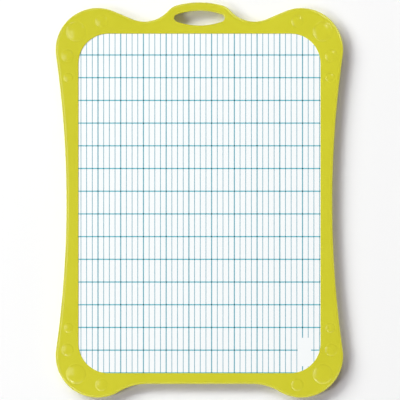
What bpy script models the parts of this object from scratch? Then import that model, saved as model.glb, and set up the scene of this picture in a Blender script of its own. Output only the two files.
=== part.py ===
"""School dry-erase slate: a laminated writing panel clamped between two moulded frame halves.

The slate lies on its back. X runs across it, Y runs up it to the carrying handle, and Z is its
depth, with the ruled face on top. The origin is under the middle of its outline, at its back.
"""

import math

import bmesh
import bpy
from mathutils import Vector

MM = 0.001

# Writing window that both frame halves leave open
WINDOW_WIDTH = 159.8 * MM
WINDOW_HEIGHT = 224.05 * MM
WINDOW_RADIUS = 19.8 * MM

# Frame bars, measured outwards from the window's edges
SIDE_BAR = 8.0 * MM
TOP_BAR = 8.15 * MM
BOTTOM_BAR = 7.35 * MM

# Rounded corner lobes, and how far they stand out from the window's edges
LOBE_RADIUS = 27.7 * MM
LOBE_SIDE_REACH = 15.15 * MM
LOBE_TOP_REACH = 17.1 * MM
LOBE_FOOT_REACH = 16.4 * MM

# Hollows that lead from the lobes into the bars: the top one lies between lobe and handle, off the
# middle by its shift, and the bottom one by its offset from the lobe's centre
TOP_HOLLOW_RADIUS = 20.9 * MM
TOP_HOLLOW_SHIFT = 1.4 * MM
FOOT_HOLLOW_RADIUS = 36.0 * MM
FOOT_HOLLOW_OFFSET = 32.8 * MM

# Finger slot above the window, and the carrying handle round it
SLOT_LENGTH = 33.2 * MM
SLOT_HEIGHT = 9.85 * MM
SLOT_END_RADIUS = 2.5 * MM
SLOT_SILL = 5.45 * MM
HANDLE_BAR = 5.5 * MM
HANDLE_END = 6.4 * MM
SHOULDER_RADIUS = 10.9 * MM
CROWN_RISE = 1.55 * MM

# Layers of the writing panel, bonded to each other
CORE_THICKNESS = 3.2 * MM
SHEET_THICKNESS = 0.2 * MM
FILM_THICKNESS = 0.1 * MM
GLUE_LINE = 0.05 * MM

# Seat of the panel in the frame
PANEL_OVERLAP = 2.2 * MM
PANEL_EDGE_CLEARANCE = 0.3 * MM
PANEL_FACE_CLEARANCE = 0.05 * MM
LIP_THICKNESS = 0.35 * MM

# Edges of the mouldings
OUTER_ROUND = 1.7 * MM
WINDOW_ROUND = 0.2 * MM
SLOT_ROUND = 1.0 * MM
OUTER_DRAFT = 0.2 * MM
PARTING_CHAMFER = 0.2 * MM
PARTING_GAP = 0.1 * MM

# Tongue of the rear half, in a groove of the front half, all round the outline
TONGUE_INSET = 1.2 * MM
TONGUE_WIDTH = 0.8 * MM
TONGUE_HEIGHT = 0.8 * MM
TONGUE_CLEARANCE = 0.15 * MM

# Snap pegs of the rear half, in bosses of the front half
PEG_RADIUS = 1.5 * MM
PEG_LENGTH = 1.3 * MM
PEG_CHAMFER = 0.3 * MM
PEG_CLEARANCE = 0.2 * MM
BOSS_WALL = 1.3 * MM
HANDLE_PEG_OFFSET = 4.4 * MM

# Raised bubbles on the front of each lobe: radius and height of the three sizes
LARGE_BUBBLE_RADIUS = 6.6 * MM
LARGE_BUBBLE_HEIGHT = 1.1 * MM
MEDIUM_BUBBLE_RADIUS = 4.1 * MM
MEDIUM_BUBBLE_HEIGHT = 0.68 * MM
SMALL_BUBBLE_RADIUS = 3.2 * MM
SMALL_BUBBLE_HEIGHT = 0.54 * MM
BUBBLE_ARC = math.radians(45)
BUBBLE_SINK = 0.5 * MM

# Places of the bubbles: the large one in from a lobe's rim, the others from a lobe's centre towards
# the middle of the slate
LARGE_BUBBLE_ANGLE = math.radians(40.5)
LARGE_BUBBLE_INSET = 9.2 * MM
TOP_BUBBLE_OFFSET = 2.7 * MM
SIDE_BUBBLE_OFFSET = 4.0 * MM
SMALL_BUBBLE_OFFSET = 18.55 * MM

# Pockets that core out both halves behind the bubbles, and the walls they leave
POCKET_WALL = 0.8 * MM
FACE_WALL = 1.2 * MM

# Fineness of the curves
CHORD_ERROR = 0.08 * MM
ROUND_STEPS = 3
BUBBLE_RINGS = 4
MERGE_DISTANCE = 0.001 * MM

# Depths, from the panel outwards
FACE_STACK = GLUE_LINE + SHEET_THICKNESS + GLUE_LINE + FILM_THICKNESS
PANEL_THICKNESS = CORE_THICKNESS + 2 * FACE_STACK
LIP_HEIGHT = PANEL_THICKNESS / 2 + PANEL_FACE_CLEARANCE - PARTING_GAP / 2
HALF_DEPTH = LIP_HEIGHT + LIP_THICKNESS
FRAME_DEPTH = 2 * HALF_DEPTH + PARTING_GAP
MIDDLE_HEIGHT = FRAME_DEPTH / 2

# Reaches from the window's edges, for the handle outwards and for both halves' inner joints
HANDLE_REACH = SLOT_SILL + SLOT_HEIGHT + HANDLE_BAR
REBATE = PANEL_OVERLAP + PANEL_EDGE_CLEARANCE
GROOVE_REACH = TONGUE_INSET + TONGUE_WIDTH + TONGUE_CLEARANCE

# Edges of the window, with the outline's bounding box centred on the origin
WINDOW_MIDDLE = (LOBE_FOOT_REACH - HANDLE_REACH) / 2
WINDOW_SIDE = WINDOW_WIDTH / 2
WINDOW_TOP = WINDOW_MIDDLE + WINDOW_HEIGHT / 2
WINDOW_FOOT = WINDOW_MIDDLE - WINDOW_HEIGHT / 2

# Centres that the outline and what lies on it share
LOBE_X = WINDOW_SIDE + LOBE_SIDE_REACH - LOBE_RADIUS
TOP_LOBE_Y = WINDOW_TOP + LOBE_TOP_REACH - LOBE_RADIUS
FOOT_LOBE_Y = WINDOW_FOOT - LOBE_FOOT_REACH + LOBE_RADIUS
SLOT_MIDDLE = WINDOW_TOP + SLOT_SILL + SLOT_HEIGHT / 2


def clear_scene():
    for item in list(bpy.data.objects):
        bpy.data.objects.remove(item, do_unlink=True)


# Outlines


def arc_steps(radius, turn):
    """How many straight steps an arc needs to stay within the chord error."""
    return max(1, math.ceil(turn / (2 * math.acos(1 - CHORD_ERROR / radius))))


def belt(circles):
    """A closed outline drawn clockwise round circles, as (point, outward normal) pairs.

    Each circle is (x, y, radius). The outline passes outside a circle of positive radius and
    inside a hollow of negative radius, and runs between them along their common tangents.
    """
    headings = []
    for (x, y, radius), (next_x, next_y, next_radius) in zip(circles, circles[1:] + circles[:1]):
        distance = math.hypot(next_x - x, next_y - y)
        lean = (next_radius - radius) / distance
        headings.append(math.atan2(next_y - y, next_x - x) + math.asin(max(-1.0, min(1.0, lean))))
    outline = []
    for (x, y, radius), arriving, leaving in zip(circles, headings[-1:] + headings, headings):
        turn = (leaving - arriving) % math.tau
        if radius > 0:
            turn -= math.tau
        count = arc_steps(abs(radius), abs(turn))
        for index in range(count + 1):
            heading = arriving + turn * index / count
            normal = Vector((-math.sin(heading), math.cos(heading)))
            point = Vector((x, y)) + normal * radius
            if not outline or (point - outline[-1][0]).length > CHORD_ERROR:
                outline.append((point, normal))
    if (outline[0][0] - outline[-1][0]).length <= CHORD_ERROR:
        outline.pop()
    return outline


def touching_radius(across, rise, radius):
    """Radius of an arc that touches a circle and is level where it crosses its own middle line.

    That level point lies across beside the circle's centre and rise above it. A positive radius
    bows outwards, and a negative one is a hollow.
    """
    return (across**2 + rise**2 - radius**2) / (2 * (rise - radius))


def half_chord(radius, height):
    """Half the width of a circle at a height above its centre."""
    return math.sqrt(radius**2 - height**2)


def handle_circles():
    """The crown over the handle and its right shoulder."""
    top = WINDOW_TOP + HANDLE_REACH
    x = SLOT_LENGTH / 2 + HANDLE_END - SHOULDER_RADIUS
    drop = CROWN_RISE + SHOULDER_RADIUS
    crown = touching_radius(x, drop, SHOULDER_RADIUS)
    return (0, top - crown, crown), (x, top - drop, SHOULDER_RADIUS)


def top_hollow(shoulder):
    """The hollow between handle and lobe, as wide as it is named or as they leave room for."""
    shoulder_x, shoulder_y, _ = shoulder
    bar_y = WINDOW_TOP + TOP_BAR
    handle_side = shoulder_x + half_chord(SHOULDER_RADIUS, max(0, bar_y - shoulder_y))
    lobe_side = LOBE_X - half_chord(LOBE_RADIUS, bar_y - TOP_LOBE_Y)
    x = (handle_side + lobe_side) / 2 + TOP_HOLLOW_SHIFT
    beside_handle = touching_radius(x - shoulder_x, bar_y - shoulder_y, SHOULDER_RADIUS)
    beside_lobe = touching_radius(LOBE_X - x, bar_y - TOP_LOBE_Y, LOBE_RADIUS)
    radius = max(-TOP_HOLLOW_RADIUS, beside_handle, beside_lobe)
    return x, bar_y - radius, radius


def foot_hollow():
    """The hollow between a lower lobe and the straight bottom bar."""
    bar_y = WINDOW_FOOT - BOTTOM_BAR
    beside_lobe = touching_radius(FOOT_HOLLOW_OFFSET, FOOT_LOBE_Y - bar_y, LOBE_RADIUS)
    radius = max(-FOOT_HOLLOW_RADIUS, beside_lobe)
    return LOBE_X - FOOT_HOLLOW_OFFSET, bar_y + radius, radius


def waist():
    """The hollow right side, which touches both lobes and leaves the side bar at its middle."""
    x = WINDOW_SIDE + SIDE_BAR
    radius = touching_radius((TOP_LOBE_Y - FOOT_LOBE_Y) / 2, x - LOBE_X, LOBE_RADIUS)
    return x - radius, (TOP_LOBE_Y + FOOT_LOBE_Y) / 2, radius


def frame_outline():
    crown, shoulder = handle_circles()
    top_lobe = (LOBE_X, TOP_LOBE_Y, LOBE_RADIUS)
    foot_lobe = (LOBE_X, FOOT_LOBE_Y, LOBE_RADIUS)
    right = [shoulder, top_hollow(shoulder), top_lobe, waist(), foot_lobe, foot_hollow()]
    left = [(-x, y, radius) for x, y, radius in reversed(right)]
    return belt([crown] + right + left)


def window_outline():
    x = WINDOW_SIDE - WINDOW_RADIUS
    top = WINDOW_TOP - WINDOW_RADIUS
    foot = WINDOW_FOOT + WINDOW_RADIUS
    corners = [(x, top), (x, foot), (-x, foot), (-x, top)]
    return belt([(*corner, WINDOW_RADIUS) for corner in corners])


def slot_outline():
    half_span = SLOT_LENGTH / 2 - SLOT_END_RADIUS
    bow = touching_radius(half_span, SLOT_HEIGHT / 2, SLOT_END_RADIUS)
    bow_shift = bow - SLOT_HEIGHT / 2
    return belt(
        [
            (0, SLOT_MIDDLE - bow_shift, bow),
            (half_span, SLOT_MIDDLE, SLOT_END_RADIUS),
            (0, SLOT_MIDDLE + bow_shift, bow),
            (-half_span, SLOT_MIDDLE, SLOT_END_RADIUS),
        ]
    )


def crossings(outline, axis, value):
    """Where an outline crosses a line of constant x (axis 0) or y (axis 1), in order."""
    points = [point for point, _ in outline]
    found = []
    for start, end in zip(points, points[1:] + points[:1]):
        low, high = sorted((start[axis], end[axis]))
        if low <= value < high:
            share = (value - start[axis]) / (end[axis] - start[axis])
            found.append(start[1 - axis] + share * (end[1 - axis] - start[1 - axis]))
    return sorted(found)


# Solids


def ring(bm, outline, shift, height):
    """Points along an outline moved outwards by shift, at one height."""
    verts = []
    for point, normal in outline:
        place = point + normal * shift
        verts.append(bm.verts.new((place.x, place.y, height)))
    return verts


def skin(bm, outline, profile):
    """Walls along an outline through a profile of (shift, height) points. Gives both end rings."""
    rings = [ring(bm, outline, shift, height) for shift, height in profile]
    for lower, upper in zip(rings, rings[1:]):
        for index in range(len(outline)):
            bm.faces.new((lower[index - 1], lower[index], upper[index], upper[index - 1]))
    return rings[0], rings[-1]


def rounded(shift, height, radius, outwards):
    """Profile points of a rounded edge that ends level with a face at that height."""
    points = []
    for index in range(ROUND_STEPS + 1):
        angle = math.pi / 2 * index / ROUND_STEPS
        across = radius * (1 - math.cos(angle))
        points.append((shift + outwards * across, height - radius * (1 - math.sin(angle))))
    return points


def turned(bm, centre, profile):
    """Walls turned about a vertical axis, through (radius, height) points. Gives the first ring."""
    sides = arc_steps(max(radius for radius, _ in profile), math.tau)
    spokes = []
    for index in range(sides):
        angle = math.tau * index / sides
        spokes.append((centre, Vector((math.cos(angle), math.sin(angle)))))
    return skin(bm, spokes, profile)[0]


def cap(bm, rings):
    """A flat face that fills an outer ring of points and leaves out the rings inside it."""
    edges = []
    for points in rings:
        edges += [bm.edges.get(pair) for pair in zip(points, points[1:] + points[:1])]
    bmesh.ops.triangle_fill(bm, use_beauty=True, edges=edges)


def finished(name, bm, material):
    """An object with a closed mesh that faces outwards."""
    bmesh.ops.remove_doubles(bm, verts=bm.verts, dist=MERGE_DISTANCE)
    bmesh.ops.recalc_face_normals(bm, faces=bm.faces)
    mesh = bpy.data.meshes.new(name)
    bm.to_mesh(mesh)
    bm.free()
    mesh.shade_smooth()
    mesh.set_sharp_from_angle(angle=math.radians(30))
    mesh.materials.append(material)
    item = bpy.data.objects.new(name, mesh)
    bpy.context.scene.collection.objects.link(item)
    return item


# Stations on the frame, each a point and its distance to the nearer edge of the frame


def lobe_stations():
    """The widest part of each lobe, between its rim and the window's corner."""
    out = LOBE_RADIUS - LARGE_BUBBLE_INSET
    across = out * math.cos(LARGE_BUBBLE_ANGLE)
    along = out * math.sin(LARGE_BUBBLE_ANGLE)
    stations = []
    for side in (1, -1):
        for end, lobe_y, edge_y in ((1, TOP_LOBE_Y, WINDOW_TOP), (-1, FOOT_LOBE_Y, WINDOW_FOOT)):
            place = Vector((side * (LOBE_X + across), lobe_y + end * along))
            corner = Vector((side * (WINDOW_SIDE - WINDOW_RADIUS), edge_y - end * WINDOW_RADIUS))
            to_window = (place - corner).length - WINDOW_RADIUS
            stations.append((place, min(LARGE_BUBBLE_INSET, to_window)))
    return stations


def bar_station(axis, value, end):
    """A station midway across a bar, on a line of constant x (axis 0) or y (axis 1) at one end."""
    pick = max if end > 0 else min
    rim = pick(crossings(frame_outline(), axis, value))
    edge = pick(crossings(window_outline(), axis, value))
    across = (rim + edge) / 2
    place = Vector((value, across)) if axis == 0 else Vector((across, value))
    return place, abs(rim - edge) / 2


def top_stations():
    """One on the top or bottom bar beside each lobe."""
    x = LOBE_X - TOP_BUBBLE_OFFSET
    return [bar_station(0, side * x, end) for side in (1, -1) for end in (1, -1)]


def side_stations(offset):
    """One on the side bar beside each lobe, at an offset from the lobe's centre."""
    heights = (TOP_LOBE_Y - offset, FOOT_LOBE_Y + offset)
    return [bar_station(1, y, side) for side in (1, -1) for y in heights]


def handle_stations():
    """Beside both ends of the slot."""
    x = SLOT_LENGTH / 2 + HANDLE_PEG_OFFSET
    return [bar_station(0, side * x, 1) for side in (1, -1)]


# Frame halves, each with its parting face at height 0 and its outer face at HALF_DEPTH


def frame_half(name, joint, stub, material):
    """One moulded half, with its pockets and with a peg or socket at every joining station.

    joint is the (inset, width, height) of its groove or tongue, and stub is the profile of its
    sockets or pegs, from the parting face to their end.
    """
    inset, width, height = joint
    rim = [
        (-inset - width, 0),
        (-inset - width, height),
        (-inset, height),
        (-inset, 0),
        (-PARTING_CHAMFER, 0),
        (0, PARTING_CHAMFER),
    ]
    lip = [(REBATE, 0), (REBATE, LIP_HEIGHT), (0, LIP_HEIGHT)]
    mouth = [(PARTING_CHAMFER, 0), (0, PARTING_CHAMFER)]
    bm = bmesh.new()
    walls = [
        skin(bm, frame_outline(), rim + rounded(-OUTER_DRAFT, HALF_DEPTH, OUTER_ROUND, -1)),
        skin(bm, window_outline(), lip + rounded(0, HALF_DEPTH, WINDOW_ROUND, 1)),
        skin(bm, slot_outline(), mouth + rounded(0, HALF_DEPTH, SLOT_ROUND, 1)),
    ]
    features = [turned(bm, place, profile) for place, profile in inside_features(stub)]
    cap(bm, [first for first, _ in walls] + features)
    cap(bm, [last for _, last in walls])
    return finished(name, bm, material)


def inside_features(stub):
    """Round features of a parting face, as (place, profile) pairs."""
    roof = HALF_DEPTH - FACE_WALL
    boss = PEG_RADIUS + PEG_CLEARANCE + BOSS_WALL
    features = [(place, stub) for place, _ in handle_stations()]
    for place, room in lobe_stations():
        pocket = pocket_radius(room)
        features.append((place, [(pocket, 0), (pocket, roof), (boss, roof), (boss, 0)] + stub))
    for place, room in plain_stations():
        pocket = pocket_radius(room)
        features.append((place, [(pocket, 0), (pocket, roof), (0, roof)]))
    return features


def plain_stations():
    return top_stations() + side_stations(SIDE_BUBBLE_OFFSET) + side_stations(SMALL_BUBBLE_OFFSET)


def pocket_radius(room):
    """A pocket fills its bar, up to a wall beside the groove and beside the panel."""
    return room - max(GROOVE_REACH, REBATE) - POCKET_WALL


def bubble_profile(radius, height):
    """Domed cap over a short skirt that is sunk into the outer face."""
    profile = [(0, HALF_DEPTH - BUBBLE_SINK), (radius, HALF_DEPTH - BUBBLE_SINK)]
    for index in range(BUBBLE_RINGS, -1, -1):
        angle = BUBBLE_ARC * index / BUBBLE_RINGS
        across = radius * math.sin(angle) / math.sin(BUBBLE_ARC)
        rise = height * (math.cos(angle) - math.cos(BUBBLE_ARC)) / (1 - math.cos(BUBBLE_ARC))
        profile.append((across, HALF_DEPTH + rise))
    return profile


def bubbles(material):
    """Helper that holds every raised bubble of the front, to be joined to it."""
    large = bubble_profile(LARGE_BUBBLE_RADIUS, LARGE_BUBBLE_HEIGHT)
    medium = bubble_profile(MEDIUM_BUBBLE_RADIUS, MEDIUM_BUBBLE_HEIGHT)
    small = bubble_profile(SMALL_BUBBLE_RADIUS, SMALL_BUBBLE_HEIGHT)
    medium_stations = top_stations() + side_stations(SIDE_BUBBLE_OFFSET)
    bm = bmesh.new()
    for place, _ in lobe_stations():
        turned(bm, place, large)
    for place, _ in medium_stations:
        turned(bm, place, medium)
    for place, _ in side_stations(SMALL_BUBBLE_OFFSET):
        turned(bm, place, small)
    item = finished("front_bubbles", bm, material)
    item.hide_render = True
    item.display_type = "WIRE"
    return item


def front_half(material):
    groove = (
        TONGUE_INSET - TONGUE_CLEARANCE,
        TONGUE_WIDTH + 2 * TONGUE_CLEARANCE,
        TONGUE_HEIGHT + TONGUE_CLEARANCE,
    )
    hole = PEG_RADIUS + PEG_CLEARANCE
    depth = PEG_LENGTH + PEG_CLEARANCE
    half = frame_half("front_frame", groove, [(hole, 0), (hole, depth), (0, depth)], material)
    raised = bubbles(material)
    raised.parent = half
    union = half.modifiers.new("bubbles", "BOOLEAN")
    union.operation = "UNION"
    union.object = raised
    half.location.z = MIDDLE_HEIGHT + PARTING_GAP / 2
    return half


def rear_half(material):
    """The same moulding turned over, with a tongue and pegs, and with a plain outer face."""
    tongue = (TONGUE_INSET, TONGUE_WIDTH, -TONGUE_HEIGHT)
    tip = PEG_RADIUS - PEG_CHAMFER
    peg = [(PEG_RADIUS, 0), (PEG_RADIUS, PEG_CHAMFER - PEG_LENGTH), (tip, -PEG_LENGTH), (0, -PEG_LENGTH)]
    half = frame_half("rear_frame", tongue, peg, material)
    half.rotation_euler.y = math.pi
    half.location.z = MIDDLE_HEIGHT - PARTING_GAP / 2
    return half


# Writing panel


def panel_layer(name, bottom, thickness, material):
    """One layer of the panel: a plate that reaches under the frame's lips all round."""
    bm = bmesh.new()
    for face in skin(bm, window_outline(), [(PANEL_OVERLAP, 0), (PANEL_OVERLAP, thickness)]):
        cap(bm, [face])
    layer = finished(name, bm, material)
    layer.location.z = MIDDLE_HEIGHT + bottom
    return layer


def panel(board, paper, film):
    core_half = CORE_THICKNESS / 2
    sheet_start = core_half + GLUE_LINE
    sheet_end = sheet_start + SHEET_THICKNESS
    film_start = sheet_end + GLUE_LINE
    film_end = film_start + FILM_THICKNESS
    return [
        panel_layer("panel_core", -core_half, CORE_THICKNESS, board),
        panel_layer("front_ruled_sheet", sheet_start, SHEET_THICKNESS, paper),
        panel_layer("rear_plain_sheet", -sheet_end, SHEET_THICKNESS, paper),
        panel_layer("front_dry_erase_film", film_start, FILM_THICKNESS, film),
        panel_layer("rear_dry_erase_film", -film_end, FILM_THICKNESS, film),
    ]


# Materials


def finish(name, colour, roughness):
    material = bpy.data.materials.new(name)
    material.use_nodes = True
    shader = material.node_tree.nodes["Principled BSDF"]
    shader.inputs["Base Color"].default_value = (*colour, 1)
    shader.inputs["Roughness"].default_value = roughness
    shader.inputs["Metallic"].default_value = 0
    return material


def clear_film():
    material = finish("clear_film", (1, 1, 1), 0.08)
    shader = material.node_tree.nodes["Principled BSDF"]
    shader.inputs["Transmission Weight"].default_value = 1
    return material


def build_slate():
    clear_scene()
    lime = finish("lime_plastic", (0.62, 0.60, 0.035), 0.32)
    board = finish("fibreboard", (0.33, 0.22, 0.13), 0.85)
    paper = finish("white_sheet", (0.88, 0.89, 0.90), 0.45)
    slate = bpy.data.objects.new("slate", None)
    bpy.context.scene.collection.objects.link(slate)
    for piece in [front_half(lime), rear_half(lime)] + panel(board, paper, clear_film()):
        piece.parent = slate


build_slate()
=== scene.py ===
"""Looks of the school dry-erase slate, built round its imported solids.

X runs across the slate, Y runs up it to the carrying handle, and Z comes out of its ruled face.
Pieces are drawn in millimetres and turned into metres as they are added. The studio is in metres.
"""

import math

import bmesh
import bpy
from mathutils import Matrix, Vector


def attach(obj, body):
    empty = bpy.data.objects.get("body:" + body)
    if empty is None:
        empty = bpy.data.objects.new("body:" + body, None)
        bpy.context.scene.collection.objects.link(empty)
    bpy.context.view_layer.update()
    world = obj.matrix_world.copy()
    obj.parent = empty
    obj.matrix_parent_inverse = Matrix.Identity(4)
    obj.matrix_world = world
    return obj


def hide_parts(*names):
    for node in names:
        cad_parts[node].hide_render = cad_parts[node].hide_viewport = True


MM = 0.001

# Circles of (x, y, radius) along the right half of the frame's outline, clockwise from the handle.
# A hollow has a negative radius, and a point on the middle line has a radius of 0
HANDLE_CROWN = (0, 71.721, 58.904)
HANDLE_SHOULDER = (12.1, 118.175, 10.9)
HANDLE_HOLLOW = (36.38, 138.875, -20.9)
UPPER_LOBE = (67.35, 99.225, 27.7)
SIDE_HOLLOW = (778.192, -1.85, -690.292)
LOWER_LOBE = (67.35, -102.925, 27.7)
FOOT_HOLLOW = (34.55, -157.575, -36.0)
FOOT_MIDDLE = (0, -121.575, 0)
FRAME_OUTLINE = [
    HANDLE_CROWN,
    HANDLE_SHOULDER,
    HANDLE_HOLLOW,
    UPPER_LOBE,
    SIDE_HOLLOW,
    LOWER_LOBE,
    FOOT_HOLLOW,
    FOOT_MIDDLE,
]

# Finger slot in the same way, between two wide arcs
SLOT_TOP = (0, 80.421, 44.704)
SLOT_END = (14.1, 120.2, 2.5)
SLOT_FOOT = (0, 159.979, 44.704)
SLOT_OUTLINE = [SLOT_TOP, SLOT_END, SLOT_FOOT]

# Edges of the writing window, and its outline in the same way
WINDOW_SIDE = 79.9
WINDOW_TOP = 109.825
WINDOW_FOOT = -114.225
WINDOW_RADIUS = 19.8
CORNER_X = WINDOW_SIDE - WINDOW_RADIUS
TOP_CORNER_Y = WINDOW_TOP - WINDOW_RADIUS
FOOT_CORNER_Y = WINDOW_FOOT + WINDOW_RADIUS
WINDOW_OUTLINE = [
    (0, WINDOW_TOP, 0),
    (CORNER_X, TOP_CORNER_Y, WINDOW_RADIUS),
    (CORNER_X, FOOT_CORNER_Y, WINDOW_RADIUS),
    (0, WINDOW_FOOT, 0),
]

# Height of the slate's middle plane, the gap between the mouldings there, and the heights of a
# moulding's outer face and of its lip's inner face over its parting face
MIDDLE_HEIGHT = 2.4
PARTING_GAP = 0.1
HALF_DEPTH = MIDDLE_HEIGHT - PARTING_GAP / 2
LIP_HEIGHT = 2.0

# Faces of the panel's core and of the whole panel, from the middle plane, and the glue between them
CORE_FACE = 1.6
PANEL_FACE = 2.0
GLUE_LINE = 0.05

# Sides of the panel
FRONT = 1
REAR = -1

# Edges of the mouldings
OUTER_ROUND = 1.7
OUTER_DRAFT = 0.2
WINDOW_ROUND = 0.2
SLOT_ROUND = 1.0
PARTING_CHAMFER = 0.2
FLAT_EDGE = 0.12

# Joint between the two mouldings, and the panel's place in it
REBATE = 2.5
PANEL_OVERLAP = 2.2
TONGUE_INSET = 1.2
TONGUE_WIDTH = 0.8
TONGUE_HEIGHT = 0.8
TONGUE_CLEARANCE = 0.15
PEG_RADIUS = 1.5
PEG_LENGTH = 1.3
PEG_CHAMFER = 0.3
PEG_CLEARANCE = 0.2
HANDLE_PEG_PLACE = (21.0, 117.26)
BOSS_RADIUS = 3.0
POCKET_ROOF = 1.15

# Bubbles on the right half: (radius, height) of each size, and the (x, y) places
LARGE_BUBBLE = (6.6, 1.06)
MEDIUM_BUBBLE = (4.1, 0.66)
SMALL_BUBBLE = (3.2, 0.52)
LARGE_PLACES = [(81.418, 111.24), (81.418, -114.94)]
MEDIUM_PLACES = [(64.65, 118.008), (64.65, -122.032), (86.944, 95.225), (87.038, -98.925)]
SMALL_PLACES = [(86.401, 80.675), (86.401, -84.375)]
BUBBLE_ARC = math.radians(66)
BUBBLE_FOOT_ROUND = 0.25

# Radii of the pockets that core out the mouldings behind those bubbles, in the same order
LARGE_POCKETS = [5.9, 5.9]
MEDIUM_POCKETS = [5.481, 5.106, 4.517, 4.423]
SMALL_POCKETS = [3.201, 3.201]

# Printed ruling: its pitches, first lines and counts, and its lines' widths, depth and tuck under the lips
RULE_PITCH = 3.75
COLUMN_STEP = 4
FIRST_RULE = -78.18
RULE_COUNT = 43
FIRST_COLUMN = 3
ROW_PITCH = 14.986
FIRST_ROW = 95.72
ROW_COUNT = 15
RULE_WIDTH = 0.41
COLUMN_WIDTH = 0.71
ROW_WIDTH = 0.78
INK_DEPTH = 0.012
RULE_TUCK = 1.2

# Patch that the ruling leaves bare near the lower right corner
BARE_LEFT = 64.8
BARE_RIGHT = 73.7
BARE_TOP = -90.925
BARE_FOOT = -109.725

# Fineness of the curves, and the angle from which an edge is drawn sharp
CHORD_ERROR = 0.008
SMALLEST_BEND = 0.0001
ROUND_STEPS = 8
ROUND_PROFILE = 0.5
BUBBLE_RINGS = 14
BUBBLE_FOOT_STEPS = 3
MERGE_DISTANCE = 0.0005
SHARP_ANGLE = math.radians(28)

# Darker and paler tint of each surface
LIME_TINTS = [(0.614, 0.586, 0.026), (0.632, 0.606, 0.031)]
RULED_SHEET_TINTS = [(0.938, 0.962, 0.968), (0.943, 0.967, 0.973)]
PLAIN_SHEET_TINTS = [(0.86, 0.87, 0.875), (0.885, 0.895, 0.9)]
RULE_TINTS = [(0.08, 0.34, 0.44), (0.1, 0.38, 0.48)]
COLUMN_TINTS = [(0.12, 0.39, 0.48), (0.14, 0.43, 0.52)]
ROW_TINTS = [(0.12, 0.47, 0.56), (0.14, 0.51, 0.6)]
FIBRE_TINTS = [(0.22, 0.135, 0.07), (0.42, 0.29, 0.18)]
FLOOR_TINTS = [(0.98, 0.98, 0.98), (0.99, 0.99, 0.99)]

# Part of the noise that is drawn out to the whole range of a tint or a roughness
NOISE_LOW = 0.3
NOISE_HIGH = 0.7

# Finishes: the noise that the tints follow, the range of the roughness and the noise that it follows,
# the bumps from coarse to fine, and constant values. A noise is (scale per metre, detail), and a bump
# is (scale per metre, detail, depth in metres)
FILM_GLOSS = {"Coat Weight": 0.8, "Coat Roughness": 0.07}
FILM_RIPPLE = (260, 1, 0.000004)
SATIN_PLASTIC = {
    "cloud": (45, 3),
    "roughness": (0.16, 0.19),
    "patches": (900, 2),
    "bumps": [(120, 1, 0.00001), (5200, 1, 0.000002)],
    "constants": {"IOR": 1.49},
}
FILMED_SHEET = {
    "cloud": (700, 4),
    "roughness": (0.36, 0.44),
    "patches": (60, 2),
    "bumps": [FILM_RIPPLE],
    "constants": FILM_GLOSS,
}
FILMED_INK = {
    "cloud": (1600, 3),
    "roughness": (0.34, 0.42),
    "patches": (300, 2),
    "bumps": [FILM_RIPPLE],
    "constants": FILM_GLOSS,
}
PRESSED_FIBRE = {
    "cloud": (1400, 6),
    "roughness": (0.75, 0.92),
    "patches": (500, 3),
    "bumps": [(2200, 5, 0.00008)],
    "constants": {},
}
MATT_FLOOR = {
    "cloud": (3, 2),
    "roughness": (0.9, 0.95),
    "patches": (20, 2),
    "bumps": [(400, 2, 0.00001)],
    "constants": {},
}

# Camera, straight above the slate, the width that it sees at the slate's front, and its sensor's width
# in millimetres
CAMERA_HEIGHT = 1.3
CAMERA_X = 0.0004
CAMERA_Y = 0.0
FRONT_HEIGHT = 0.0045
VIEW_WIDTH = 0.264
SENSOR_WIDTH = 36.0

# Floor, which drops a little so that it doesn't share a plane with the frame's rear face
FLOOR_REACH = 4
FLOOR_CELLS = 8
FLOOR_DROP = 0.00005

# Tints of the lamps and of the sky, which even out in the open and leave the shadows warm
LAMP_TINT = (0.97, 1.0, 0.964)
SKY_TINT = (0.135, 0.108, 0.14)
HORIZON_TINT = (1, 1, 1)

# Sines of the elevations where the horizon's tint ends and where the sky's begins
HORIZON_SINE = 0.04
SKY_SINE = 0.2

# Lamps: name, azimuth and elevation in degrees, distance, (width, height), and the level of light,
# where 1 renders a colour as it is written
FLOOR_LAMPS = [
    ("floor_key", 89, 30, 6, (1.8, 1.6), 0.112),
    ("floor_key", 123, 27, 6, (1.8, 1.6), 0.155),
    ("floor_key", 140, 21, 6, (1.8, 1.6), 0.185),
    ("floor_key", 158, 20, 6, (1.8, 1.6), 0.235),
    ("floor_key", 195, 30, 6, (1.8, 1.6), 0.198),
]
PANEL_LAMPS = [
    ("panel_key", 146, 44, 9, (2.4, 2.4), 0.97),
]
MOULDING_LAMPS = [
    ("wide_left_box", 186, 44, 3, (3.2, 1.5), 0.25),
    ("wide_foot_box", 268, 42, 3, (2.4, 1.0), 0.11),
    ("upper_right_box", 45, 29, 3, (2.4, 1.0), 0.225),
    ("corner_box", 318, 32, 3, (1.4, 0.8), 0.1),
    ("corner_box", 228, 32, 3, (1.4, 0.8), 0.075),
    ("corner_box", 110, 32, 3, (1.4, 0.8), 0.07),
]

# Close lamps on the mouldings, which add the point that each aims at and the angle in degrees that
# its grid lets through. A lamp without a grid lights all that is in front of it
SLATE_MIDDLE = (0, 0, 0)
LEFT_OF_MIDDLE = (-0.02, 0, 0)
UPPER_RIGHT_CORNER = (0.08, 0.11, 0)
GRID = 17
NO_GRID = 180
CLOSE_LAMPS = [
    ("left_box", 181, 65, 1.07, (0.5, 0.42), 0.12, LEFT_OF_MIDDLE, NO_GRID),
    ("lower_left_grid", 222, 57, 1.0, (0.3, 0.08), 0.04, UPPER_RIGHT_CORNER, GRID),
    ("lower_left_strip", 241, 47.5, 1.24, (0.3, 0.1), 0.065, SLATE_MIDDLE, NO_GRID),
    ("upper_right_grid", 55, 62.5, 1.0, (0.22, 0.1), 0.085, UPPER_RIGHT_CORNER, GRID),
]


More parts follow.
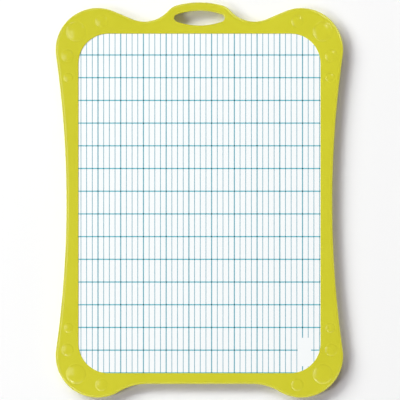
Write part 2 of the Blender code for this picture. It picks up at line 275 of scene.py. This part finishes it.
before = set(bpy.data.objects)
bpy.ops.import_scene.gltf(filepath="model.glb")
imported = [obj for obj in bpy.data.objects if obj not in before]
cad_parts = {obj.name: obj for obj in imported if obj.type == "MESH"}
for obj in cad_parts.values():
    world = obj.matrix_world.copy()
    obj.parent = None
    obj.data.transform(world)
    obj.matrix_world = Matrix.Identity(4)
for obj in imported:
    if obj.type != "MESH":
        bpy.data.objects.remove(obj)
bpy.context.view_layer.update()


# Shapes


def geometry(verts):
    """Points together with the edges between them."""
    edges = {edge for vert in verts for edge in vert.link_edges}
    return list(verts) + list(edges)


def swept(bm, section, circle, angle, shift):
    """Turns a section about a circle's middle, or moves it straight on. Gives its far end."""
    x, y, radius = circle
    steps = 1
    if angle and radius:
        steps = math.ceil(abs(angle) / (2 * math.acos(1 - CHORD_ERROR / abs(radius))))
    made = bmesh.ops.spin(
        bm, geom=section, cent=(x, y, 0), axis=(0, 0, 1), dvec=shift, angle=angle, steps=steps
    )
    return made["geom_last"]


def bend(bm, section, circle, angle):
    """Carries a section along a circle, unless there is nothing to turn. Gives its far end."""
    _, _, radius = circle
    angle = math.remainder(angle, math.tau)
    if radius == 0 or abs(angle) < SMALLEST_BEND:
        return section
    return swept(bm, section, circle, angle, (0, 0, 0))


def sweep(bm, section, circles):
    """Carries a section clockwise round circles, from the middle line at the top to that below."""
    heading = 0
    for circle, after in zip(circles, circles[1:]):
        x, y, radius = circle
        next_x, next_y, next_radius = after
        distance = math.hypot(next_x - x, next_y - y)
        lean = max(-1.0, min(1.0, (next_radius - radius) / distance))
        leaving = math.atan2(next_y - y, next_x - x) + math.asin(lean)
        section = bend(bm, section, circle, leaving - heading)
        length = distance * math.sqrt(1 - lean**2)
        if length > CHORD_ERROR:
            step = Vector((math.cos(leaving), math.sin(leaving), 0)) * length
            section = swept(bm, section, circle, 0, step)
        heading = leaving
    bend(bm, section, circles[-1], -math.pi - heading)


def line(bm, points):
    """A line of edges through points."""
    verts = [bm.verts.new(point) for point in points]
    for pair in zip(verts, verts[1:]):
        bm.edges.new(pair)
    return verts


def rounded(bm, corner, radius, steps):
    """Rounds a corner of a line, starting at a distance of the radius from it."""
    bmesh.ops.bevel(
        bm, geom=[corner], offset=radius, segments=steps, profile=ROUND_PROFILE, affect="VERTICES"
    )


def wall(bm, circles, section, radius):
    """A wall along half an outline, from a section of (outwards, up) points.

    The corner before the section's last point is rounded where a radius is given.
    """
    x, y, start = circles[0]
    before = set(bm.verts)
    verts = line(bm, [(x, y + start + across, up) for across, up in section])
    if radius:
        rounded(bm, verts[-2], radius, ROUND_STEPS)
    sweep(bm, geometry([vert for vert in bm.verts if vert not in before]), circles)


def turn(bm, place, section):
    """Turns a section, drawn out along X from an upright axis, right round that axis."""
    widest = max(item.co.x for item in section if isinstance(item, bmesh.types.BMVert))
    bmesh.ops.spin(
        bm,
        geom=section,
        cent=(*place, 0),
        axis=(0, 0, 1),
        angle=math.tau,
        steps=math.ceil(math.pi / math.acos(1 - CHORD_ERROR / (widest - place[0]))),
        use_merge=True,
    )


def turned(bm, place, section):
    """Walls turned about an upright axis, from a section of (radius, height) points."""
    x, y = place
    turn(bm, place, geometry(line(bm, [(x + radius, y, height) for radius, height in section])))


def bubble(bm, place, size):
    """A domed bubble that runs out softly into the face round it."""
    x, y = place
    radius, height = size
    before = set(bm.verts)
    crown = bm.verts.new((0, 0, 1))
    bmesh.ops.spin(
        bm, geom=[crown], cent=(0, 0, 0), axis=(0, 1, 0), angle=BUBBLE_ARC, steps=BUBBLE_RINGS
    )
    arc = [vert for vert in bm.verts if vert not in before]
    across = radius / math.sin(BUBBLE_ARC)
    up = height / (1 - math.cos(BUBBLE_ARC))
    flatten = Matrix.Diagonal((across, 1, up, 1))
    drop = Matrix.Translation((0, 0, -math.cos(BUBBLE_ARC)))
    lift = Matrix.Translation((x, y, HALF_DEPTH))
    bmesh.ops.transform(bm, matrix=lift @ flatten @ drop, verts=arc)
    foot = min(arc, key=lambda vert: vert.co.z)
    foot.co.z = HALF_DEPTH
    reach = bm.verts.new((x + radius + BUBBLE_FOOT_ROUND + FLAT_EDGE, y, HALF_DEPTH))
    bm.edges.new((foot, reach))
    rounded(bm, foot, BUBBLE_FOOT_ROUND, BUBBLE_FOOT_STEPS)
    turn(bm, place, geometry([vert for vert in bm.verts if vert not in before]))


def fill(bm, height):
    """A flat face at one height, between all the open edges there."""
    edges = []
    for edge in bm.edges:
        level = all(abs(vert.co.z - height) < MERGE_DISTANCE for vert in edge.verts)
        if level and edge.is_boundary:
            edges.append(edge)
    bmesh.ops.triangle_fill(bm, use_beauty=True, edges=edges)


def mirrored(bm):
    """Adds the left half to a right half."""
    everything = bm.verts[:] + bm.edges[:] + bm.faces[:]
    bmesh.ops.mirror(bm, geom=everything, matrix=Matrix(), merge_dist=MERGE_DISTANCE, axis="X")
    bmesh.ops.remove_doubles(bm, verts=bm.verts, dist=MERGE_DISTANCE)


def add_piece(name, bm, material, slot, *nodes):
    """A piece that rides on the slate and stands for the named solids."""
    bmesh.ops.remove_doubles(bm, verts=bm.verts, dist=MERGE_DISTANCE)
    bmesh.ops.recalc_face_normals(bm, faces=bm.faces)
    bmesh.ops.scale(bm, vec=(MM, MM, MM), verts=bm.verts)
    mesh = bpy.data.meshes.new(name)
    bm.to_mesh(mesh)
    bm.free()
    mesh.shade_smooth()
    mesh.set_sharp_from_angle(angle=SHARP_ANGLE)
    mesh.materials.append(material)
    piece = bpy.data.objects.new(name, mesh)
    bpy.context.scene.collection.objects.link(piece)
    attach(piece, "root")
    if nodes:
        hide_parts(*nodes)
    return piece


# Mouldings


def moulding(joint, stub, bubbles):
    """One half of the frame, with its parting face at height 0 and its outer face on top.

    joint is the (inset, width, height) of its groove or tongue, stub is the section of its sockets
    or pegs, and bubbles says whether it has any.
    """
    inset, width, height = joint
    rim = [
        (-inset - width, 0),
        (-inset - width, height),
        (-inset, height),
        (-inset, 0),
        (-PARTING_CHAMFER, 0),
        (0, PARTING_CHAMFER),
        (-OUTER_DRAFT, HALF_DEPTH),
        (-OUTER_DRAFT - OUTER_ROUND - FLAT_EDGE, HALF_DEPTH),
    ]
    lip = [
        (REBATE, 0),
        (REBATE, LIP_HEIGHT),
        (0, LIP_HEIGHT),
        (0, HALF_DEPTH),
        (WINDOW_ROUND + FLAT_EDGE, HALF_DEPTH),
    ]
    mouth = [
        (PARTING_CHAMFER, 0),
        (0, PARTING_CHAMFER),
        (0, HALF_DEPTH),
        (SLOT_ROUND + FLAT_EDGE, HALF_DEPTH),
    ]
    bm = bmesh.new()
    wall(bm, FRAME_OUTLINE, rim, OUTER_ROUND)
    wall(bm, WINDOW_OUTLINE, lip, WINDOW_ROUND)
    wall(bm, SLOT_OUTLINE, mouth, SLOT_ROUND)
    turned(bm, HANDLE_PEG_PLACE, stub)
    boss = [(BOSS_RADIUS, POCKET_ROOF), (BOSS_RADIUS, 0)]
    for place, pocket in zip(LARGE_PLACES, LARGE_POCKETS):
        turned(bm, place, [(pocket, 0), (pocket, POCKET_ROOF)] + boss + stub)
    for place, pocket in zip(MEDIUM_PLACES + SMALL_PLACES, MEDIUM_POCKETS + SMALL_POCKETS):
        turned(bm, place, [(pocket, 0), (pocket, POCKET_ROOF), (0, POCKET_ROOF)])
    if bubbles:
        for places, size in (
            (LARGE_PLACES, LARGE_BUBBLE),
            (MEDIUM_PLACES, MEDIUM_BUBBLE),
            (SMALL_PLACES, SMALL_BUBBLE),
        ):
            for place in places:
                bubble(bm, place, size)
    bmesh.ops.remove_doubles(bm, verts=bm.verts, dist=MERGE_DISTANCE)
    mirrored(bm)
    fill(bm, 0)
    fill(bm, HALF_DEPTH)
    return bm


def front_moulding(material):
    """The front half, with the groove, the sockets and the bubbles."""
    groove = (
        TONGUE_INSET - TONGUE_CLEARANCE,
        TONGUE_WIDTH + 2 * TONGUE_CLEARANCE,
        TONGUE_HEIGHT + TONGUE_CLEARANCE,
    )
    hole = PEG_RADIUS + PEG_CLEARANCE
    depth = PEG_LENGTH + PEG_CLEARANCE
    bm = moulding(groove, [(hole, 0), (hole, depth), (0, depth)], bubbles=True)
    bmesh.ops.translate(bm, vec=(0, 0, MIDDLE_HEIGHT + PARTING_GAP / 2), verts=bm.verts)
    return add_piece("front_moulding", bm, material, "frame_plastic", "front_frame")


def rear_moulding(material):
    """The rear half, with the tongue and the pegs, turned over to face down."""
    tongue = (TONGUE_INSET, TONGUE_WIDTH, -TONGUE_HEIGHT)
    peg = [
        (PEG_RADIUS, 0),
        (PEG_RADIUS, PEG_CHAMFER - PEG_LENGTH),
        (PEG_RADIUS - PEG_CHAMFER, -PEG_LENGTH),
        (0, -PEG_LENGTH),
    ]
    bm = moulding(tongue, peg, bubbles=False)
    bmesh.ops.rotate(bm, cent=(0, 0, 0), matrix=Matrix.Rotation(math.pi, 3, "Y"), verts=bm.verts)
    bmesh.ops.translate(bm, vec=(0, 0, MIDDLE_HEIGHT - PARTING_GAP / 2), verts=bm.verts)
    return add_piece("rear_moulding", bm, material, "frame_plastic", "rear_frame")


# Writing panel


def laminate(name, side, material, slot, *nodes):
    """A sheet under its clear film, bonded to the front or the rear of the core."""
    low, high = sorted((side * (CORE_FACE + GLUE_LINE), side * PANEL_FACE))
    bm = bmesh.new()
    wall(bm, WINDOW_OUTLINE, [(PANEL_OVERLAP, low), (PANEL_OVERLAP, high)], 0)
    mirrored(bm)
    fill(bm, low)
    fill(bm, high)
    bmesh.ops.translate(bm, vec=(0, 0, MIDDLE_HEIGHT), verts=bm.verts)
    return add_piece(name, bm, material, slot, *nodes)


def stroke(bm, low, high):
    """One printed line between two corners, on the panel's front."""
    left, foot = low
    right, top = high
    size = Matrix.Diagonal((right - left, top - foot, INK_DEPTH, 1))
    height = MIDDLE_HEIGHT + PANEL_FACE + INK_DEPTH / 2
    place = Matrix.Translation(((left + right) / 2, (foot + top) / 2, height))
    bmesh.ops.create_cube(bm, size=1, matrix=place @ size)


def corner_rise(across):
    """How far a line runs past the middle of a corner, when it lies this far across from it."""
    past = max(0, across)
    return math.sqrt((WINDOW_RADIUS + RULE_TUCK) ** 2 - past**2)


def upright(bm, x, width):
    """An upright line from lip to lip of the window, with a break at the bare patch."""
    rise = corner_rise(abs(x) - CORNER_X)
    spans = [(FOOT_CORNER_Y - rise, TOP_CORNER_Y + rise)]
    if BARE_LEFT < x < BARE_RIGHT:
        spans = [(FOOT_CORNER_Y - rise, BARE_FOOT), (BARE_TOP, TOP_CORNER_Y + rise)]
    for foot, top in spans:
        stroke(bm, (x - width / 2, foot), (x + width / 2, top))


def row(bm, y):
    """A level line from lip to lip of the window, with a break at the bare patch."""
    reach = CORNER_X + corner_rise(max(y - TOP_CORNER_Y, FOOT_CORNER_Y - y))
    spans = [(-reach, reach)]
    if BARE_FOOT < y < BARE_TOP:
        spans = [(-reach, BARE_LEFT), (BARE_RIGHT, reach)]
    for left, right in spans:
        stroke(bm, (left, y - ROW_WIDTH / 2), (right, y + ROW_WIDTH / 2))


def ruling(rule_ink, column_ink, row_ink):
    """All printed lines: fine uprights, heavier uprights between the columns, and rows."""
    fine = bmesh.new()
    columns = bmesh.new()
    for index in range(RULE_COUNT):
        x = FIRST_RULE + RULE_PITCH * index
        if index % COLUMN_STEP == FIRST_COLUMN:
            upright(columns, x, COLUMN_WIDTH)
        else:
            upright(fine, x, RULE_WIDTH)
    rows = bmesh.new()
    for index in range(ROW_COUNT):
        row(rows, FIRST_ROW - ROW_PITCH * index)
    return [
        add_piece("fine_rules", fine, rule_ink, "ruled_sheet"),
        add_piece("column_rules", columns, column_ink, "ruled_sheet"),
        add_piece("row_rules", rows, row_ink, "ruled_sheet"),
    ]


# Surfaces


def noise(tree, scale, detail):
    """Noise over the piece's own coordinates, at a scale per metre."""
    place = tree.nodes.new("ShaderNodeTexCoord")
    texture = tree.nodes.new("ShaderNodeTexNoise")
    texture.inputs["Scale"].default_value = scale
    texture.inputs["Detail"].default_value = detail
    tree.links.new(place.outputs["Object"], texture.inputs["Vector"])
    return texture.outputs["Fac"]


def ranged(tree, value, low, high):
    """Noise drawn out to a range."""
    scaled = tree.nodes.new("ShaderNodeMapRange")
    scaled.inputs["From Min"].default_value = NOISE_LOW
    scaled.inputs["From Max"].default_value = NOISE_HIGH
    scaled.inputs["To Min"].default_value = low
    scaled.inputs["To Max"].default_value = high
    tree.links.new(value, scaled.inputs["Value"])
    return scaled.outputs["Result"]


def ramped(tree, value, low, first, high, last):
    """Colours that follow a value, from the first colour up to low to the last colour from high on."""
    ramp = tree.nodes.new("ShaderNodeValToRGB")
    start, end = ramp.color_ramp.elements
    start.position = low
    start.color = (*first, 1)
    end.position = high
    end.color = (*last, 1)
    tree.links.new(value, ramp.inputs["Fac"])
    return ramp.outputs["Color"]


def relief(tree, value, depth, under):
    """Bumps of a depth in metres, over others if there are any."""
    bump = tree.nodes.new("ShaderNodeBump")
    bump.inputs["Strength"].default_value = 1.0
    bump.inputs["Distance"].default_value = depth
    tree.links.new(value, bump.inputs["Height"])
    if under:
        tree.links.new(under, bump.inputs["Normal"])
    return bump.outputs["Normal"]


def surface(name, tints, finish):
    """A material that wanders between two tints, with a finish from the tables above."""
    material = bpy.data.materials.new(name)
    material.use_nodes = True
    tree = material.node_tree
    sockets = tree.nodes["Principled BSDF"].inputs
    dark, pale = tints
    colour = ramped(tree, noise(tree, *finish["cloud"]), NOISE_LOW, dark, NOISE_HIGH, pale)
    tree.links.new(colour, sockets["Base Color"])
    roughness = ranged(tree, noise(tree, *finish["patches"]), *finish["roughness"])
    tree.links.new(roughness, sockets["Roughness"])
    normal = None
    for scale, detail, depth in finish["bumps"]:
        normal = relief(tree, noise(tree, scale, detail), depth, normal)
    tree.links.new(normal, sockets["Normal"])
    for socket, value in finish["constants"].items():
        sockets[socket].default_value = value
    return material


# Studio


def studio_floor():
    """A plain pale floor just under the slate."""
    bm = bmesh.new()
    bmesh.ops.create_grid(bm, x_segments=FLOOR_CELLS, y_segments=FLOOR_CELLS, size=FLOOR_REACH)
    bmesh.ops.translate(bm, vec=(0, 0, -FLOOR_DROP), verts=bm.verts)
    mesh = bpy.data.meshes.new("studio_floor")
    bm.to_mesh(mesh)
    bm.free()
    mesh.materials.append(surface("studio_floor", FLOOR_TINTS, MATT_FLOOR))
    floor = bpy.data.objects.new("studio_floor", mesh)
    bpy.context.scene.collection.objects.link(floor)
    return floor


def lit_group(name, items):
    """A group of pieces that a lamp may be kept to."""
    group = bpy.data.collections.new(name)
    for item in items:
        group.objects.link(item)
    return group


def softbox(group, name, azimuth, elevation, distance, size, level, aim=SLATE_MIDDLE, grid=NO_GRID):
    """A lamp from the tables above, which lights only the pieces of its group."""
    heading = math.radians(azimuth)
    lift = math.radians(elevation)
    flat = math.cos(lift)
    way = Vector((math.cos(heading) * flat, math.sin(heading) * flat, math.sin(lift)))
    lamp = bpy.data.lights.new(name, "AREA")
    lamp.color = LAMP_TINT
    lamp.shape = "RECTANGLE"
    lamp.size, lamp.size_y = size
    lamp.spread = math.radians(grid)
    half = lamp.spread / 2
    lamp.energy = level * (math.pi * distance) ** 2 / way.z * (1 - half / math.tan(half))
    item = bpy.data.objects.new(name, lamp)
    item.location = Vector(aim) + way * distance
    item.rotation_euler = way.to_track_quat("Z", "Y").to_euler()
    item.light_linking.receiver_collection = group
    bpy.context.scene.collection.objects.link(item)


def studio_light(floor, mouldings, panel):
    """Keys whose shadows fall to the lower right, and softboxes round the mouldings for their gloss."""
    for group, lamps in (
        (floor, FLOOR_LAMPS),
        (panel, PANEL_LAMPS),
        (mouldings, MOULDING_LAMPS),
        (mouldings, CLOSE_LAMPS),
    ):
        for lamp in lamps:
            softbox(group, *lamp)


def studio_sky():
    """Even light from above that pales to a white horizon."""
    world = bpy.data.worlds.new("studio_sky")
    world.use_nodes = True
    tree = world.node_tree
    direction = tree.nodes.new("ShaderNodeTexCoord")
    parts = tree.nodes.new("ShaderNodeSeparateXYZ")
    tree.links.new(direction.outputs["Generated"], parts.inputs["Vector"])
    colour = ramped(tree, parts.outputs["Z"], HORIZON_SINE, HORIZON_TINT, SKY_SINE, SKY_TINT)
    tree.links.new(colour, tree.nodes["Background"].inputs["Color"])
    bpy.context.scene.world = world


def camera_above():
    """A camera that looks straight down, as in the photograph."""
    data = bpy.data.cameras.new("camera")
    data.sensor_width = SENSOR_WIDTH
    data.lens = SENSOR_WIDTH * (CAMERA_HEIGHT - FRONT_HEIGHT) / VIEW_WIDTH
    camera = bpy.data.objects.new("camera", data)
    camera.location = (CAMERA_X, CAMERA_Y, CAMERA_HEIGHT)
    bpy.context.scene.collection.objects.link(camera)
    bpy.context.scene.camera = camera


# The slate in its studio

bpy.context.scene.view_settings.view_transform = "Standard"
camera_above()
studio_sky()

lime = surface("lime_plastic", LIME_TINTS, SATIN_PLASTIC)
mouldings = [front_moulding(lime), rear_moulding(lime)]
panel = [
    laminate(
        "ruled_laminate",
        FRONT,
        surface("ruled_white", RULED_SHEET_TINTS, FILMED_SHEET),
        "ruled_sheet",
        "front_ruled_sheet",
        "front_dry_erase_film",
    ),
    laminate(
        "plain_laminate",
        REAR,
        surface("plain_white", PLAIN_SHEET_TINTS, FILMED_SHEET),
        "plain_sheet",
        "rear_plain_sheet",
        "rear_dry_erase_film",
    ),
]
panel += ruling(
    surface("fine_ink", RULE_TINTS, FILMED_INK),
    surface("column_ink", COLUMN_TINTS, FILMED_INK),
    surface("row_ink", ROW_TINTS, FILMED_INK),
)
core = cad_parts["panel_core"]
core.data.materials[0] = surface("fibreboard", FIBRE_TINTS, PRESSED_FIBRE)
studio_light(
    lit_group("floor_lit", [studio_floor()]),
    lit_group("mouldings_lit", mouldings),
    lit_group("panel_lit", panel + [core]),
)
